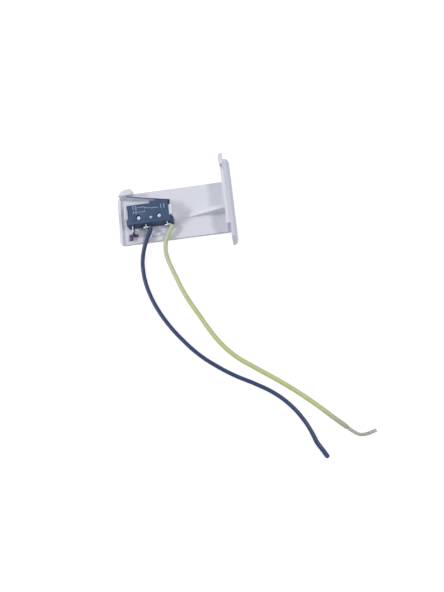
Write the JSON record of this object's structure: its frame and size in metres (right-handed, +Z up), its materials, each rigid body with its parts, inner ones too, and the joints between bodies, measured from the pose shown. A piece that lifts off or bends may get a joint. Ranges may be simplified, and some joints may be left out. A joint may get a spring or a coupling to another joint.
{
  "type": "lever switch on panel bracket",
  "caption": "Snap-action lever switch clipped to a white moulded bracket with a face plate, with a black and a yellow lead.",
  "frame": {"origin": "middle of the bracket's and face plate's box, on the surface they lie on", "axes": "+X along the arm towards the face plate, +Y across the arm towards the snap tongue, +Z up from the web to the switch"},
  "size_m": [0.102, 0.1366, 0.0145],
  "materials": {
    "white_plastic": "satin moulded",
    "plate_plastic": "semi-gloss moulded",
    "dark_plastic": "moulded, glass filled",
    "spring_steel": "rolled strip",
    "plunger_plastic": "moulded",
    "terminal_brass": "tinned strip",
    "blade_copper": "rolled beryllium copper",
    "contact_silver": "headed rivet",
    "solder": "flowed",
    "tinned_copper": "tinned strands",
    "black_insulation": "extruded",
    "yellow_insulation": "extruded"
  },
  "bodies": {
    "root": {"bracket": "white_plastic", "face_plate": "plate_plastic", "switch_case": "dark_plastic", "switch_cover": "dark_plastic", "com_terminal": "terminal_brass", "no_terminal": "terminal_brass", "nc_terminal": "terminal_brass", "blade_rivet": "contact_silver", "no_contact": "contact_silver", "nc_contact": "contact_silver", "com_solder": "solder", "no_solder": "solder", "yellow_strands": "tinned_copper", "black_strands": "tinned_copper", "black_lead": "black_insulation", "yellow_lead": "yellow_insulation", "yellow_bare_end": "tinned_copper", "black_end_sleeve": "black_insulation"},
    "lever": {"lever": "spring_steel"},
    "plunger": {"plunger": "plunger_plastic"},
    "blade": {"snap_blade": "blade_copper", "tension_spring": "blade_copper", "moving_contact": "contact_silver"}
  },
  "joints": [
    {"name": "lever_hinge", "type": "hinge", "parent": "root", "child": "lever", "pos_m": [-0.00367, 0.00285, 0.0052], "axis": [0, 0, 1], "range_deg": [0, 8], "stiffness_Nm_per_rad": 0.02, "springref_deg": -5.73},
    {"name": "plunger_slide", "type": "slide", "parent": "root", "child": "plunger", "axis": [0, -1, 0], "range_m": [0, 0.00078]},
    {"name": "blade_flex", "type": "hinge", "parent": "root", "child": "blade", "pos_m": [-0.0065, -0.00002, 0.0052], "axis": [0, 0, 1], "range_deg": [0, 2.25], "deforming": ["snap_blade", "tension_spring"]}
  ],
  "couplings": [
    {"joint": "plunger_slide", "follows": "lever_hinge", "m_per_rad": 0.00555},
    {"joint": "blade_flex", "follows": "lever_hinge", "ratio": 0.28}
  ]
}
